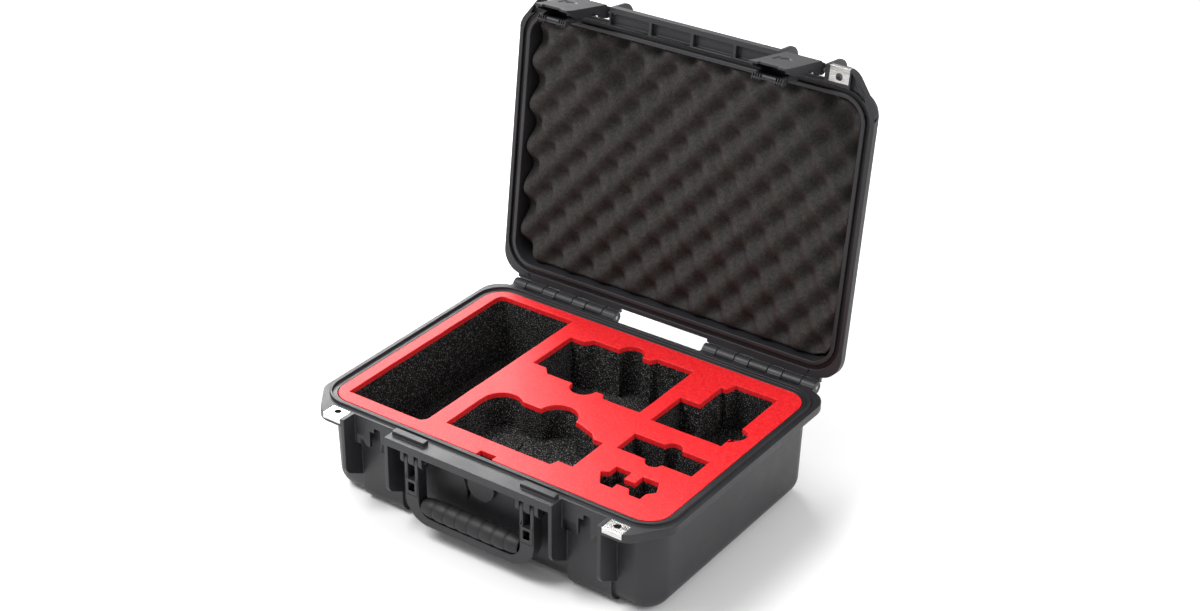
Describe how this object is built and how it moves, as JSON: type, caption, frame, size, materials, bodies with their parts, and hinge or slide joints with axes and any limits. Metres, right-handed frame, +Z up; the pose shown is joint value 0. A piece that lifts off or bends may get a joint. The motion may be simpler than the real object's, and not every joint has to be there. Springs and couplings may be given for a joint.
{
  "type": "carrying case",
  "caption": "Moulded carrying case standing open, with a hinged lid, trigger latches, a swing handle and layered foam cut to hold a small aircraft and its parts.",
  "frame": {"origin": "middle of the base's flat underside", "axes": "+X to the right seen from the handle side, +Y to the back where the hinges are, +Z up"},
  "size_m": [0.504, 0.4966, 0.5313],
  "materials": {
    "shell": "fine moulded texture, satin",
    "trim": "moulded, satin",
    "grip": "soft moulded rubber",
    "seal": "soft rubber",
    "black_foam": "cut closed-cell foam, speckled",
    "red_foam": "cut foam sheet",
    "lid_foam": "soft open-cell foam, egg-crate face",
    "steel": "bright pressed sheet",
    "pin": "drawn wire"
  },
  "bodies": {
    "base": {"base_shell": "shell", "base_foam_tray": "black_foam", "base_foam_top": "red_foam", "base_padlock_plates": "steel", "hinge_pins": "pin", "handle_pins": "pin", "valve_body": "trim", "valve_cap": "trim", "valve_seal": "seal"},
    "handle": {"handle_frame": "trim", "handle_grip": "grip"},
    "lid": {"lid_shell": "shell", "lid_gasket": "seal", "lid_foam": "lid_foam", "lid_padlock_plates": "steel", "latch_pins": "pin"},
    "latch_left": {"latch_lever_left": "trim", "trigger_pin_left": "pin"},
    "latch_right": {"latch_lever_right": "trim", "trigger_pin_right": "pin"},
    "trigger_left": {"latch_trigger_left": "trim", "trigger_spring_left": "pin"},
    "trigger_right": {"latch_trigger_right": "trim", "trigger_spring_right": "pin"}
  },
  "joints": [
    {"name": "lid_hinge", "type": "hinge", "parent": "base", "child": "lid", "pos_m": [0, 0.195, 0.123], "axis": [1, 0, 0], "range_deg": [0, 97.1]},
    {"name": "handle_hinge", "type": "hinge", "parent": "base", "child": "handle", "pos_m": [0, -0.189, 0.104], "axis": [-1, 0, 0], "range_deg": [0, 95]},
    {"name": "latch_left_hinge", "type": "hinge", "parent": "lid", "child": "latch_left", "pos_m": [-0.1505, 0.2535, 0.50369], "axis": [-1, 0, 0], "range_deg": [-4, 100]},
    {"name": "latch_right_hinge", "type": "hinge", "parent": "lid", "child": "latch_right", "pos_m": [0.1505, 0.2535, 0.50369], "axis": [-1, 0, 0], "range_deg": [-4, 100]},
    {"name": "trigger_left_hinge", "type": "hinge", "parent": "latch_left", "child": "trigger_left", "pos_m": [-0.1505, 0.22229, 0.51083], "axis": [-1, 0, 0], "range_deg": [0, 10], "stiffness_Nm_per_rad": 0.3, "springref_deg": -8.59},
    {"name": "trigger_right_hinge", "type": "hinge", "parent": "latch_right", "child": "trigger_right", "pos_m": [0.1505, 0.22229, 0.51083], "axis": [-1, 0, 0], "range_deg": [0, 10], "stiffness_Nm_per_rad": 0.3, "springref_deg": -8.59}
  ]
}
